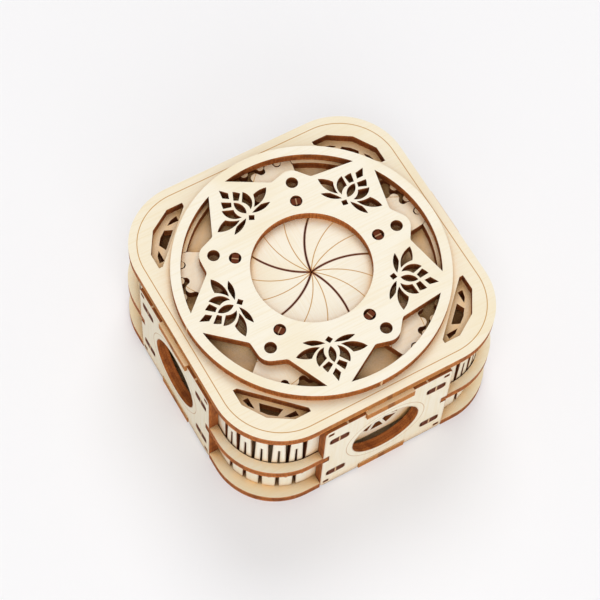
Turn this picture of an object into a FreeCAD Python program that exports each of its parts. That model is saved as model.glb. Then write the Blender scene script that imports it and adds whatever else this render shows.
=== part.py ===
"""Keepsake box of laser-cut plywood with an iris lid.

Every piece is cut from one sheet. Four panels, each with a round window, are locked to a base and
to the plates inside by tongues and tenons. Kerf-bent walls close the corners and carry the top
plate. The lid is a star disc that turns by hand. It carries five blades on pegs, and the
toothed edge of each blade rolls in the gear ring of the top plate, so the iris opens as it turns.

Millimetres, Z up, origin at the middle of the underside.
"""
import FreeCAD, Part
import math
import os
import re
import Sketcher
from FreeCAD import Placement, Rotation, Vector

BLADES = 5
SIDES = ("front", "right", "back", "left")
CORNERS = ("front_right", "back_right", "back_left", "front_left")
BLADE_TEETH = 18
RING_TEETH = 45
TEETH_ON_BLADE = 4
PETALS_IN_ROSETTE = 8
KERF_COUNT = 6                       # kerfs in the upper row of a wall; the lower row has one fewer

SIZES = {
    # the sheet, and the gearing whose ring sets how wide the box is
    "ply": 3.0,
    "joint_gap": 0.1,
    "curved_gap": 0.3,
    "running_gap": 0.1,
    "pivot_circle": 21.84,
    "tooth_height": 1.68,
    "tooth_foot": 0.56,
    "tooth_gap": 0.12,
    "root_gap": 0.24,
    "mouth_lead": 0.3,
    "ring_wall_inset": 0.3,
    "ring_rim": 5.38,
    # case
    "wall_height": 36.0,
    "top_corner": 20.2,
    "base_corner": 19.4,
    # side panels
    "panel_proud": 0.65,
    "panel_half": 20.6,
    "panel_end_gap": 0.6,
    "panel_corner": 1.4,
    "window_radius": 10.9,
    "tongue_half": 7.7,
    "tongue_proud": 0.65,
    "base_tongue_proud": 0.25,
    "tenon_length": 4.8,
    "tenon_margin": 0.4,
    "slot_play": 0.7,
    "slot_round": 1.0,
    "peephole_inset": 1.85,
    "peephole_drop": 2.1,
    "peephole_length": 1.7,
    "peephole_height": 1.4,
    "shelf_notch": 2.0,
    # window grilles
    "grille_setback": 1.15,
    "rosette_hole": 1.4,
    "rosette_inner": 3.0,
    "rosette_outer": 6.7,
    "rosette_bar": 1.1,
    # kerf-bent corner walls and their shelves
    "wall_corner": 17.7,
    "wall_lap": 2.0,
    "kerf_tip": 0.5,
    "upper_kerf": 29.6,
    "upper_mouth": 1.7,
    "lower_kerf": 26.2,
    "lower_mouth": 1.2,
    "shelf_setback": 0.25,
    "shelf_corner": 19.2,
    # inner plates
    "frame_gap": 0.6,
    "frame_rim": 10.15,
    "frame_corner": 8.0,
    # lid disc
    "lid_cover": 3.6,
    "lid_rim": 2.9,
    "iris_window": 17.5,
    "hole_radius": 1.8,
    "hole_spacing": 6.16,
    "lobe_radius": 4.1,
    "star_root_out": 1.1,
    "star_root_half": 5.8,
    "star_root_round": 1.5,
    "star_tip_half": 3.4,
    "lotus_margin": 4.6,
    "lotus_length": 14.05,
    # pegs and the rings under the lid
    "peg_width": 2.0,
    "peg_depth": 2.9,
    "peg_recess": 0.3,
    "carrier_rim": 1.86,
    "retainer_lap": 2.5,
    # blades
    "blade_play": 0.05,
    "blade_gap": 0.15,
    "blade_edge": 25.7,
    "blade_lap": 2.1,
    "blade_round": 2.5,
    "boss_radius": 3.4,
    # openings across the corners of the top plate, from its edge, and of the lid floor under them
    "vent_inset": 6.3,
    "vent_shoulder": 4.15,
    "vent_bend": 10.8,
    "vent_end": 15.8,
    "vent_blunt": 1.2,
    "floor_vent_set": 1.2,
    "floor_vent_depth": 2.4,
    "floor_vent_crown": 0.35,
    "floor_vent_half": 3.45,
    "floor_vent_taper": 0.9,
    "side_vent_set": 0.6,
    "side_vent_cut": 1.1,
    "side_vent_shoulder": 2.35,
    "side_vent_depth": 2.6,
    "side_vent_near": 4.2,
    "side_vent_bend": 6.05,
    "side_vent_start": 6.9,
    "side_vent_far": 8.1,
}

BLADE_HEADING = math.radians(11)     # direction in which a blade's edge leaves the middle
BLADE_END = math.radians(8)          # the toothed arc runs this far past its end teeth
PRESSURE = math.radians(14.5)
TOOTH_SHARE = 0.61                   # the part of the blade's tooth pitch that is tooth
KERF_PITCH = math.radians(16)        # from one kerf to the next of the same row

# What follows from the sizes, written in their names
RING_PITCH_RADIUS = f"pivot_circle * {RING_TEETH} / {RING_TEETH - BLADE_TEETH}"
RING_WALL = f"{RING_PITCH_RADIUS} - ring_wall_inset"
RING_DEPTH = f"{RING_PITCH_RADIUS} + tooth_height + root_gap"
TOP_HALF = f"{RING_DEPTH} + ring_rim"
PANEL_FACE = f"{TOP_HALF} + panel_proud"
PANEL_BACK = f"{PANEL_FACE} - ply"
WALL_FACE = f"{PANEL_BACK} - joint_gap"
WALL_END = "panel_half - wall_lap"
INNER_HALF = f"{WALL_FACE} - ply - joint_gap"
INNER_CORNER = "wall_corner - ply - joint_gap"
LID_FLOOR_HEIGHT = "wall_height"
TOP_HEIGHT = "wall_height + ply"
RETAINER_HEIGHT = f"{LID_FLOOR_HEIGHT} - ply - running_gap"
MID_HEIGHT = "(ply + wall_height) / 2"
CLEAR_HALF = "(wall_height - ply) / 2"
PANEL_HALF_HEIGHT = f"{CLEAR_HALF} + ply - panel_end_gap"
TENON_OFFSET = f"{WALL_END} - tenon_margin - tenon_length / 2"
TENON_RISE = f"{RETAINER_HEIGHT} - frame_gap - ply / 2 - {MID_HEIGHT}"
LID_RADIUS = f"{RING_PITCH_RADIUS} + lid_cover"
LID_RING_INNER = f"{LID_RADIUS} - lid_rim"
HOLE_CIRCLE = "pivot_circle + hole_spacing"
BLADE_REACH = "iris_window + blade_lap"
CARRIER_RADIUS = "pivot_circle + hole_radius + carrier_rim"
VENT_OUTER = f"{TOP_HALF} - vent_inset"

doc = FreeCAD.newDocument("iris_box")
sizes = doc.addObject("Spreadsheet::Sheet", "sizes")
for row, (alias, size) in enumerate(SIZES.items(), start=1):
    sizes.set(f"A{row}", alias)
    sizes.set(f"B{row}", str(size))
    sizes.setAlias(f"B{row}", alias)
doc.recompute()

pieces = []


# ---------------------------------------------------------------- reading sizes and binding to them
def cell(text):
    """An expression in plain size names, with each name pointed at the sheet."""
    return re.sub(r"[a-z][a-z_]*", lambda word: "sizes." + word.group(), text)


def mm(text):
    """The number that an expression in size names has now."""
    return float(sizes.evalExpression(cell(str(text))))


def new_body(name):
    body = doc.addObject("PartDesign::Body", name)
    body.Label = name
    pieces.append(body)
    return body


def lift(body, height):
    body.setExpression("Placement.Base.z", cell(height))


def new_sketch(body, name, role="XY_Plane"):
    sketch = body.newObject("Sketcher::SketchObject", name)
    plane = next(item for item in body.Origin.OriginFeatures if item.Role == role)
    sketch.AttachmentSupport = [(plane, "")]
    sketch.MapMode = "FlatFace"
    return sketch


def constrain(sketch, kind, where, expression):
    index = sketch.addConstraint(Sketcher.Constraint(kind, *where, mm(expression)))
    sketch.setExpression(f"Constraints[{index}]", cell(expression))


def circle(sketch, radius, x="0", y="0"):
    index = sketch.addGeometry(Part.Circle(Vector(mm(x), mm(y), 0), Vector(0, 0, 1), mm(radius)))
    constrain(sketch, "Radius", (index,), radius)
    constrain(sketch, "DistanceX", (-1, 1, index, 3), x)
    constrain(sketch, "DistanceY", (-1, 1, index, 3), y)


def rectangle(sketch, left, right, low, high):
    """A rectangle between two x and two y, each an expression in size names."""
    corners = [(left, low), (right, low), (right, high), (left, high)]
    points = [Vector(mm(x), mm(y), 0) for x, y in corners]
    first = sketch.GeometryCount
    for start, end in zip(points, points[1:] + points[:1]):
        sketch.addGeometry(Part.LineSegment(start, end))
    for side in range(4):
        following = first + (side + 1) % 4
        sketch.addConstraint(Sketcher.Constraint("Coincident", first + side, 2, following, 1))
        level = "Horizontal" if side % 2 == 0 else "Vertical"
        sketch.addConstraint(Sketcher.Constraint(level, first + side))
    constrain(sketch, "DistanceX", (-1, 1, first, 1), left)
    constrain(sketch, "DistanceY", (-1, 1, first, 1), low)
    constrain(sketch, "DistanceX", (-1, 1, first + 1, 2), right)
    constrain(sketch, "DistanceY", (-1, 1, first + 1, 2), high)


def rounded_rectangle(sketch, half_width, half_height, radius):
    """A rectangle about the origin with round corners, four lines joined by four tangent arcs."""
    across = mm(half_width)
    up = mm(half_height)
    bend = mm(radius)
    first = sketch.GeometryCount
    for quarter in range(4):
        turn = Rotation(Vector(0, 0, 1), 90 * quarter)
        reach, side = (across, up) if quarter % 2 == 0 else (up, across)
        start = turn.multVec(Vector(reach, bend - side, 0))
        end = turn.multVec(Vector(reach, side - bend, 0))
        centre = turn.multVec(Vector(reach - bend, side - bend, 0))
        sketch.addGeometry(Part.LineSegment(start, end))
        whole = Part.Circle(centre, Vector(0, 0, 1), bend)
        angle = math.radians(90 * quarter)
        sketch.addGeometry(Part.ArcOfCircle(whole, angle, angle + math.pi / 2))
    for quarter in range(4):
        line = first + 2 * quarter
        arc = line + 1
        following = first + (2 * quarter + 2) % 8
        sketch.addConstraint(Sketcher.Constraint("Tangent", line, 2, arc, 1))
        sketch.addConstraint(Sketcher.Constraint("Tangent", arc, 2, following, 1))
        if quarter:
            sketch.addConstraint(Sketcher.Constraint("Equal", first + 1, arc))
    sketch.addConstraint(Sketcher.Constraint("Vertical", first))
    sketch.addConstraint(Sketcher.Constraint("Horizontal", first + 2))
    sketch.addConstraint(Sketcher.Constraint("Vertical", first + 4))
    sketch.addConstraint(Sketcher.Constraint("Horizontal", first + 6))
    constrain(sketch, "Radius", (first + 1,), radius)
    constrain(sketch, "DistanceX", (-1, 1, first, 1), half_width)
    constrain(sketch, "DistanceY", (-1, 1, first + 2, 1), half_height)
    constrain(sketch, "DistanceX", (-1, 1, first + 4, 1), f"-({half_width})")
    constrain(sketch, "DistanceY", (-1, 1, first + 6, 1), f"-({half_height})")


def outline(sketch, start, steps):
    """A closed outline of computed points: each step is an end, or a middle and an end of an arc."""
    here = start
    for step in steps:
        if len(step) == 2:
            edge = Part.LineSegment(flat(here), flat(step))
            here = step
        else:
            edge = Part.Arc(flat(here), flat(step[:2]), flat(step[2:]))
            here = step[2:]
        index = sketch.addGeometry(edge)
        sketch.addConstraint(Sketcher.Constraint("Block", index))


def flat(point):
    return Vector(point[0], point[1], 0)


# ---------------------------------------------------------------- features
def pad(body, sketch, length="ply"):
    feature = body.newObject("PartDesign::Pad", sketch.Name + "_pad")
    feature.Profile = sketch
    feature.setExpression("Length", cell(length))
    sketch.Visibility = False
    doc.recompute()
    return feature


def cut_through(body, sketch):
    """A pocket through everything on both sides of its sketch, and the check that it cuts."""
    before = body.Shape.Volume
    feature = body.newObject("PartDesign::Pocket", sketch.Name + "_cut")
    feature.Profile = sketch
    feature.Type = "ThroughAll"
    feature.Midplane = True
    sketch.Visibility = False
    doc.recompute()
    if body.Shape.Volume >= before:
        raise ValueError(f"{feature.Name} cuts nothing")
    return feature


def repeat(body, features, count, angle=360):
    feature = body.newObject("PartDesign::PolarPattern", features[0].Name + "_pattern")
    feature.Originals = features
    axis = next(item for item in body.Origin.OriginFeatures if item.Role == "Z_Axis")
    feature.Axis = (axis, [""])
    feature.Angle = angle
    feature.Occurrences = count
    body.Tip = feature
    doc.recompute()
    return feature


# ---------------------------------------------------------------- plane geometry
def polar(radius, angle, centre=(0, 0)):
    return (centre[0] + radius * math.cos(angle), centre[1] + radius * math.sin(angle))


def circles_meet(centre_a, radius_a, centre_b, radius_b, near):
    """The point nearest to near where two circles cross."""
    dx = centre_b[0] - centre_a[0]
    dy = centre_b[1] - centre_a[1]
    span = math.hypot(dx, dy)
    along = (span ** 2 + radius_a ** 2 - radius_b ** 2) / (2 * span)
    off = math.sqrt(radius_a ** 2 - along ** 2)
    foot = (centre_a[0] + along * dx / span, centre_a[1] + along * dy / span)
    ends = [(foot[0] - side * off * dy / span, foot[1] + side * off * dx / span) for side in (1, -1)]
    return min(ends, key=lambda end: math.dist(end, near))


def tangent_point(point, centre, radius, side):
    """Where the line from a point touches a circle, on the side +1 or -1 as seen from the centre."""
    span = math.dist(point, centre)
    angle = math.atan2(point[1] - centre[1], point[0] - centre[0])
    return polar(radius, angle + side * math.acos(radius / span), centre)


def round_corner(before, corner, after, radius):
    """Start, middle and end of the arc that rounds a corner between two straight edges."""
    back = Vector(before[0] - corner[0], before[1] - corner[1], 0).normalize()
    on = Vector(after[0] - corner[0], after[1] - corner[1], 0).normalize()
    half = back.getAngle(on) / 2
    middle = (back + on).normalize()
    tip = Vector(corner[0], corner[1], 0)
    start = tip + back * (radius / math.tan(half))
    end = tip + on * (radius / math.tan(half))
    crown = tip + middle * (radius / math.sin(half) - radius)
    return [(spot.x, spot.y) for spot in (start, crown, end)]


def round_into_circle(start, end, reach, radius):
    """Start, middle and end of the arc that leads a line, on its right, into a circle about 0."""
    dx = end[0] - start[0]
    dy = end[1] - start[1]
    length = math.hypot(dx, dy)
    along = (dx / length, dy / length)
    right = (along[1], -along[0])
    foot = start[0] * right[0] + start[1] * right[1] + radius
    run = -math.sqrt((reach + radius) ** 2 - foot ** 2)
    centre = (foot * right[0] + run * along[0], foot * right[1] + run * along[1])
    first = (centre[0] - radius * right[0], centre[1] - radius * right[1])
    share = reach / (reach + radius)
    last = (centre[0] * share, centre[1] * share)
    return first, between(first, last, centre, radius)[:2], last


def between(start, end, centre, radius):
    """Middle and end of the short arc about a centre between two points on it."""
    middle = ((start[0] + end[0]) / 2, (start[1] + end[1]) / 2)
    angle = math.atan2(middle[1] - centre[1], middle[0] - centre[0])
    return (*polar(radius, angle, centre), *end)


def bulged(start, corners):
    """Steps of a closed outline: each corner is (x, y, rise), rise the height of the arc to it."""
    steps = []
    here = start
    for x, y, rise in corners:
        if rise:
            dx = x - here[0]
            dy = y - here[1]
            length = math.hypot(dx, dy)
            middle = ((x + here[0]) / 2 + rise * dy / length, (y + here[1]) / 2 - rise * dx / length)
            steps.append((*middle, x, y))
        else:
            steps.append((x, y))
        here = (x, y)
    return steps


# ---------------------------------------------------------------- case
def flat_plate(name, height, half, corner):
    body = new_body(name)
    lift(body, height)
    plate = new_sketch(body, name + "_plate")
    rounded_rectangle(plate, half, half, corner)
    pad(body, plate)
    return body


def tongues(body, half, offsets, reach):
    """Tongues out of each edge of an inner plate or of the base, through the panels."""
    sketch = new_sketch(body, body.Label + "_tongues")
    for offset in offsets:
        rectangle(sketch, f"{offset} - {half}", f"{offset} + {half}", f"-({reach})", f"-({INNER_HALF} - ply)")
    tongue_pad = pad(body, sketch)
    repeat(body, [tongue_pad], 4)


def bottom_plate():
    """The base, with a seat for each panel."""
    body = flat_plate("bottom_plate", "0", PANEL_FACE, "base_corner")
    seat = new_sketch(body, "panel_seat")
    rectangle(seat, "-(panel_half + joint_gap)", "panel_half + joint_gap",
              f"-({PANEL_FACE} + ply)", f"-({WALL_FACE})")
    seat_cut = cut_through(body, seat)
    repeat(body, [seat_cut], 4)
    tongues(body, "tongue_half", ["0"], f"{PANEL_FACE} + base_tongue_proud")


def inner_plate(name, height):
    return flat_plate(name, height, INNER_HALF, INNER_CORNER)


def inner_floor():
    body = inner_plate("inner_floor", f"{MID_HEIGHT} - ({TENON_RISE}) - ply / 2")
    tongues(body, "tenon_length / 2", [f"-({TENON_OFFSET})", TENON_OFFSET], PANEL_FACE)


def upper_frame():
    body = inner_plate("upper_frame", f"{MID_HEIGHT} + {TENON_RISE} - ply / 2")
    tongues(body, "tenon_length / 2", [f"-({TENON_OFFSET})", TENON_OFFSET], PANEL_FACE)
    opening = new_sketch(body, "frame_opening")
    half = f"{INNER_HALF} - frame_rim"
    rounded_rectangle(opening, half, half, "frame_corner")
    cut_through(body, opening)


def lid_floor_plate():
    """The plate under the blades: the lid's carrier ring turns in its bore."""
    body = inner_plate("lid_floor_plate", LID_FLOOR_HEIGHT)
    tongues(body, "tongue_half", ["0"], f"{PANEL_FACE} + tongue_proud")
    bore = new_sketch(body, "carrier_bore")
    circle(bore, f"{CARRIER_RADIUS} + running_gap")
    cut_through(body, bore)
    vents = new_sketch(body, "floor_vents")
    for points in floor_vents():
        outline(vents, points[-1], points)
    vents.AttachmentOffset = Placement(Vector(0, 0, 0), Rotation(Vector(0, 0, 1), 45))
    vents_cut = cut_through(body, vents)
    repeat(body, [vents_cut], 4)


def floor_vents():
    """The three openings under a vent of the top plate, drawn across X, which is the diagonal."""
    line = mm(f"2 * ({VENT_OUTER}) - vent_end - vent_blunt") / math.sqrt(2)
    low = line + mm("floor_vent_set")
    high = low + mm("floor_vent_depth")
    crown = high + mm("floor_vent_crown")
    wide = mm("floor_vent_half")
    narrow = wide - mm("floor_vent_taper")
    yield [(low, -wide), (high, -narrow), (crown, 0), (high, narrow), (low, wide)]
    first = line + mm("side_vent_set")
    corners = (("0", "start"), ("side_vent_cut", "far"), ("side_vent_shoulder", "bend"),
               ("side_vent_depth", "near"))
    for side in (-1, 1):
        yield [(first + mm(out), side * mm("side_vent_" + along)) for out, along in corners]


def stand(body, side, distance, height):
    """Turns a flat-cut piece upright and sets it against one side of the case, outer face out."""
    turn = Rotation(Vector(0, 0, 1), 90 * side) * Rotation(Vector(1, 0, 0), 90)
    body.Placement = Placement(Vector(0, 0, 0), turn)
    outward = ("-1", "0", "1", "0")
    across = ("0", "1", "0", "-1")
    body.setExpression("Placement.Base.x", f"{across[side]} * ({cell(distance)})")
    body.setExpression("Placement.Base.y", f"{outward[side]} * ({cell(distance)})")
    body.setExpression("Placement.Base.z", cell(height))


def side_panel(side):
    """A panel as it is cut: X across, Y up from its middle."""
    name = "side_panel_" + SIDES[side]
    body = new_body(name)
    face = new_sketch(body, name + "_face")
    rounded_rectangle(face, "panel_half", PANEL_HALF_HEIGHT, "panel_corner")
    circle(face, "window_radius")
    pad(body, face)
    tongue_cuts = new_sketch(body, name + "_tongue_cuts")
    for end in ("-", ""):
        rectangle(tongue_cuts, "-(tongue_half + joint_gap)", "tongue_half + joint_gap",
                  f"{end}({CLEAR_HALF})", f"{end}({CLEAR_HALF} + ply + panel_corner)")
    cut_through(body, tongue_cuts)
    shelf_cuts = new_sketch(body, name + "_shelf_cuts")
    for edge in ("-", ""):
        rectangle(shelf_cuts, f"{edge}(panel_half - shelf_notch)", f"{edge}(panel_half + panel_corner)",
                  "-(ply / 2 + joint_gap)", "ply / 2 + joint_gap")
    cut_through(body, shelf_cuts)
    slots = new_sketch(body, name + "_slots")
    for x_side in (-1, 1):
        for y_side in (-1, 1):
            tenon_slot(slots, x_side, y_side)
            peephole(slots, x_side, y_side)
    cut_through(body, slots)
    stand(body, side, PANEL_BACK, MID_HEIGHT)


def tenon_slot(sketch, x_side, y_side):
    """A slot with round corners that takes a tenon of an inner plate."""
    across = mm("tenon_length / 2 + slot_play")
    up = mm("ply / 2 + joint_gap")
    bend = mm("slot_round")
    middle = (x_side * mm(TENON_OFFSET), y_side * mm(TENON_RISE))
    points = []
    for quarter, (x, y) in enumerate(((across, up), (-across, up), (-across, -up), (across, -up))):
        centre = (middle[0] + x - math.copysign(bend, x), middle[1] + y - math.copysign(bend, y))
        start = quarter * math.pi / 2
        points.append(polar(bend, start, centre))
        points.append((*polar(bend, start + math.pi / 4, centre), *polar(bend, start + math.pi / 2, centre)))
    outline(sketch, points[0], points[1:] + points[:1])


def peephole(sketch, x_side, y_side):
    """A small opening by the corner of a panel."""
    x = x_side * mm("panel_half - peephole_inset")
    y = y_side * mm(f"{PANEL_HALF_HEIGHT} - peephole_drop")
    across = mm("peephole_length / 2")
    up = mm("peephole_height / 2")
    outline(sketch, (x - across, y - up), [(x + across, y - up), (x + across, y + up),
                                           (x - across, y + up), (x - across, y - up)])


def window_grille(side):
    """An upright plate behind a window, with a rosette of openings about its middle."""
    name = "window_grille_" + SIDES[side]
    body = new_body(name)
    face = new_sketch(body, name + "_face")
    half_width = f"{WALL_END} - curved_gap"
    half_height = f"{TENON_RISE} - ply / 2"
    rectangle(face, f"-({half_width})", half_width, f"-({half_height})", half_height)
    circle(face, "rosette_hole")
    pad(body, face)
    petal = new_sketch(body, name + "_petal")
    half_sector = math.pi / PETALS_IN_ROSETTE
    bar = mm("rosette_bar") / 2 / math.cos(half_sector)
    low, high = mm("rosette_inner"), mm("rosette_outer")
    low_half = low * math.tan(half_sector) - bar
    high_half = high * math.tan(half_sector) - bar
    outline(petal, (low, -low_half), [(high, -high_half), (high, high_half), (low, low_half),
                                      (low, -low_half)])
    petal_cut = cut_through(body, petal)
    repeat(body, [petal_cut], PETALS_IN_ROSETTE)
    stand(body, side, f"{PANEL_BACK} - ply - grille_setback", MID_HEIGHT)


def at_corner(body, corner, distance, height):
    """Turns a piece made for the +X +Y corner to another one; its own origin is at the distance."""
    body.Placement = Placement(Vector(0, 0, 0), Rotation(Vector(0, 0, 1), 90 * (corner - 1)))
    x_sign = ("1", "1", "-1", "-1")[corner]
    y_sign = ("-1", "1", "1", "-1")[corner]
    body.setExpression("Placement.Base.x", f"{x_sign} * ({cell(distance)})")
    body.setExpression("Placement.Base.y", f"{y_sign} * ({cell(distance)})")
    body.setExpression("Placement.Base.z", cell(height))


def bent_band(sketch, straight, outer, inner):
    """The plan of a band bent a quarter round the origin, with a straight run at each end."""
    middle = math.pi / 4
    outline(sketch, (outer, -straight),
            [(outer, 0), (*polar(outer, middle), 0, outer), (-straight, outer), (-straight, inner),
             (0, inner), (*polar(inner, middle), inner, 0), (inner, -straight), (outer, -straight)])


def corner_wall(corner):
    """A wall bent round a corner by two rows of kerfs, one cut in from each edge."""
    name = "corner_wall_" + CORNERS[corner]
    body = new_body(name)
    plan = new_sketch(body, name + "_plan")
    bent_band(plan, mm(f"{WALL_FACE} - wall_corner - ({WALL_END})"), mm("wall_corner"),
              mm("wall_corner - ply"))
    pad(body, plan, "wall_height")
    for row, edge, end, count in (("upper", "wall_height", "wall_height - upper_kerf", KERF_COUNT),
                                  ("lower", "0", "lower_kerf", KERF_COUNT - 1)):
        sweep = math.degrees(KERF_PITCH) * (count - 1)
        kerf = new_sketch(body, f"{name}_{row}_kerf", "XZ_Plane")
        kerf.AttachmentOffset = Placement(Vector(0, 0, 0), Rotation(Vector(0, 1, 0), sweep / 2 - 45))
        kerf_outline(kerf, mm(edge), mm(end), mm(row + "_mouth / 2"))
        kerf_cut = cut_through(body, kerf)
        pattern = repeat(body, [kerf_cut], count, sweep)
        pattern.Reversed = True
    at_corner(body, corner, f"{WALL_FACE} - wall_corner", "ply")


def kerf_outline(sketch, edge, end, mouth):
    """A kerf that the bend has opened at one edge of the wall: it narrows towards its end."""
    tip = mm("kerf_tip / 2")
    outside = edge - math.copysign(mouth, end - edge)
    outline(sketch, (-mouth, outside), [(mouth, outside), (mouth, edge), (tip, end), (-tip, end),
                                        (-mouth, edge), (-mouth, outside)])


def corner_shelf(corner):
    """A curved shelf at mid-height outside a corner wall, its ends in the notches of two panels."""
    name = "corner_shelf_" + CORNERS[corner]
    body = new_body(name)
    plan = new_sketch(body, name + "_plan")
    outer = mm(f"{PANEL_FACE} - shelf_setback")
    bend = mm("shelf_corner")
    inner = mm(f"{WALL_FACE} + curved_gap")
    inner_bend = mm("wall_corner + curved_gap")
    end = mm("panel_half - shelf_notch + joint_gap")
    middle = math.pi / 4
    outer_centre = (outer - bend, outer - bend)
    inner_centre = (inner - inner_bend, inner - inner_bend)
    outline(plan, (outer, end),
            [(outer, outer - bend), (*polar(bend, middle, outer_centre), outer - bend, outer),
             (end, outer), (end, inner), (inner - inner_bend, inner),
             (*polar(inner_bend, middle, inner_centre), inner, inner - inner_bend),
             (inner, end), (outer, end)])
    pad(body, plan)
    at_corner(body, corner, "0", f"{MID_HEIGHT} - ply / 2")


# ---------------------------------------------------------------- gearing
RATIO = RING_TEETH / BLADE_TEETH
BLADE_PITCH = 2 * math.pi / BLADE_TEETH
RING_PITCH = 2 * math.pi / RING_TEETH


def pitch_radius():
    """The blade's pitch radius, from the distance between the lid's axis and its pivot."""
    return mm("pivot_circle") / (RATIO - 1)


def involute(angle):
    return math.tan(angle) - angle


def half_tooth(radius, pitch, half_at_pitch):
    """Half the angle that an involute tooth spans at a radius."""
    base = pitch * math.cos(PRESSURE)
    return half_at_pitch + involute(PRESSURE) - involute(math.acos(base / max(radius, base)))


def blade_half(radius):
    return half_tooth(radius, pitch_radius(), TOOTH_SHARE * BLADE_PITCH / 2)


def ring_half(radius):
    """Half of a space of the ring at a radius: the blade's tooth and its clearance on each flank."""
    pitch = pitch_radius() * RATIO
    half_at_pitch = TOOTH_SHARE * RING_PITCH / 2 + mm("tooth_gap") / pitch
    return half_tooth(radius, pitch, half_at_pitch)


def flank(half, low, high, angle, centre, side):
    """Middle and end of one flank, from its low radius to its high one or back."""
    mean = (low + high) / 2
    middle = polar(mean, angle + side * half(mean), centre)
    return (*middle, *polar(high, angle + side * half(high), centre))


def iris_blade(number):
    """A blade with a curved edge on each side, its pivot and its toothed arc, drawn for angle 0."""
    name = f"iris_blade_{number + 1}"
    body = new_body(name)
    body.Placement = Placement(Vector(0, 0, 0), Rotation(Vector(0, 0, 1), number * 360 / BLADES))
    lift(body, f"{TOP_HEIGHT} + blade_play")
    plan = new_sketch(body, name + "_plan")
    start, steps = blade_outline()
    outline(plan, start, steps)
    circle(plan, "hole_radius", "pivot_circle")
    pad(body, plan, "ply - 2 * blade_play")


def blade_outline():
    gap = mm("blade_gap")
    edge = mm("blade_edge")
    reach = mm(BLADE_REACH)
    pivot = (mm("pivot_circle"), 0)
    sector = 2 * math.pi / BLADES
    hollow_centre = polar(edge, BLADE_HEADING - math.pi / 2)
    full_centre = polar(edge, BLADE_HEADING - math.pi / 2 + sector)
    tip = circles_meet(hollow_centre, edge + gap, full_centre, edge - gap, (0, 0))
    chord_end = BLADE_HEADING - math.asin(reach / (2 * edge))
    heel = circles_meet(hollow_centre, edge + gap, (0, 0), reach, polar(reach, chord_end))
    crown = circles_meet(full_centre, edge - gap, (0, 0), reach, polar(reach, chord_end + sector))
    steps = [between(tip, heel, hollow_centre, edge + gap)]

    root = pitch_radius() - mm("tooth_foot")
    top = pitch_radius() + mm("tooth_height")
    low = root + mm("tooth_foot")
    high = top - mm("tooth_height") / 3
    steps.append(polar(root, -blade_half(low) - BLADE_END / 6, pivot))
    steps.append(polar(low, -blade_half(low), pivot))
    for tooth in range(TEETH_ON_BLADE):
        angle = tooth * BLADE_PITCH
        steps.append(flank(blade_half, low, high, angle, pivot, -1))
        steps.append((*polar(top, angle, pivot), *polar(high, angle + blade_half(high), pivot)))
        steps.append(flank(blade_half, high, low, angle, pivot, 1))
        if tooth < TEETH_ON_BLADE - 1:
            steps.append((*polar(root, angle + BLADE_PITCH / 2, pivot),
                          *polar(low, angle + BLADE_PITCH - blade_half(low), pivot)))
    back = polar(root, (TEETH_ON_BLADE - 1) * BLADE_PITCH + BLADE_END, pivot)
    steps.append(back)
    neck = tangent_point(back, pivot, mm("boss_radius"), 1)
    first, middle, last = round_into_circle(back, neck, reach, mm("blade_round"))
    steps.append(first)
    steps.append((*middle, *last))
    steps.append(between(last, crown, (0, 0), reach))
    steps.append(between(crown, tip, full_centre, edge - gap))
    return tip, steps


def gear_ring_plate():
    """The top plate: its bore has a group of teeth for each blade."""
    body = flat_plate("gear_ring_plate", TOP_HEIGHT, TOP_HALF, "top_corner")
    bore = new_sketch(body, "ring_bore")
    circle(bore, RING_WALL)
    cut_through(body, bore)
    spaces = new_sketch(body, "tooth_spaces")
    start, steps = ring_spaces()
    outline(spaces, start, steps)
    spaces_cut = cut_through(body, spaces)
    repeat(body, [spaces_cut], BLADES)
    vents = new_sketch(body, "corner_vents")
    vent(vents)
    vents_cut = cut_through(body, vents)
    repeat(body, [vents_cut], 4)


def vent(sketch):
    """One long faceted opening with blunt ends across the corner of a plate, in the +X +Y quarter."""
    outer = mm(VENT_OUTER)
    places = ("shoulder", "bend", "end", "blunt")
    shoulder, bend, end, blunt = (outer - mm(f"vent_{place}") for place in places)
    outline(sketch, (end, outer), [(end, blunt), (blunt, end), (outer, end), (outer, bend),
                                   (shoulder, shoulder), (bend, outer), (end, outer)])


def ring_spaces():
    """The outline that cuts one group of spaces out of the ring's smooth wall."""
    origin = (0, 0)
    wall = mm(RING_WALL)
    inside = wall - mm("tooth_height")
    low = wall + mm("tooth_height") / 4
    top = mm(RING_DEPTH)
    high = top - mm("tooth_height") / 3
    mouth = ring_half(wall) + mm("mouth_lead") / wall
    start = polar(inside, -mouth)
    steps = [polar(wall - mm("tooth_gap"), -mouth), polar(low, -ring_half(low))]
    for space in range(TEETH_ON_BLADE):
        angle = space * RING_PITCH
        steps.append(flank(ring_half, low, high, angle, origin, -1))
        steps.append((*polar(top, angle), *polar(high, angle + ring_half(high))))
        steps.append(flank(ring_half, high, low, angle, origin, 1))
        if space < TEETH_ON_BLADE - 1:
            steps.append((*polar(wall, angle + RING_PITCH / 2),
                          *polar(low, angle + RING_PITCH - ring_half(low))))
    end = (TEETH_ON_BLADE - 1) * RING_PITCH + mouth
    steps.append(polar(wall - mm("tooth_gap"), end))
    steps.append(polar(inside, end))
    steps.append(between(polar(inside, end), start, origin, inside))
    return start, steps


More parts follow.
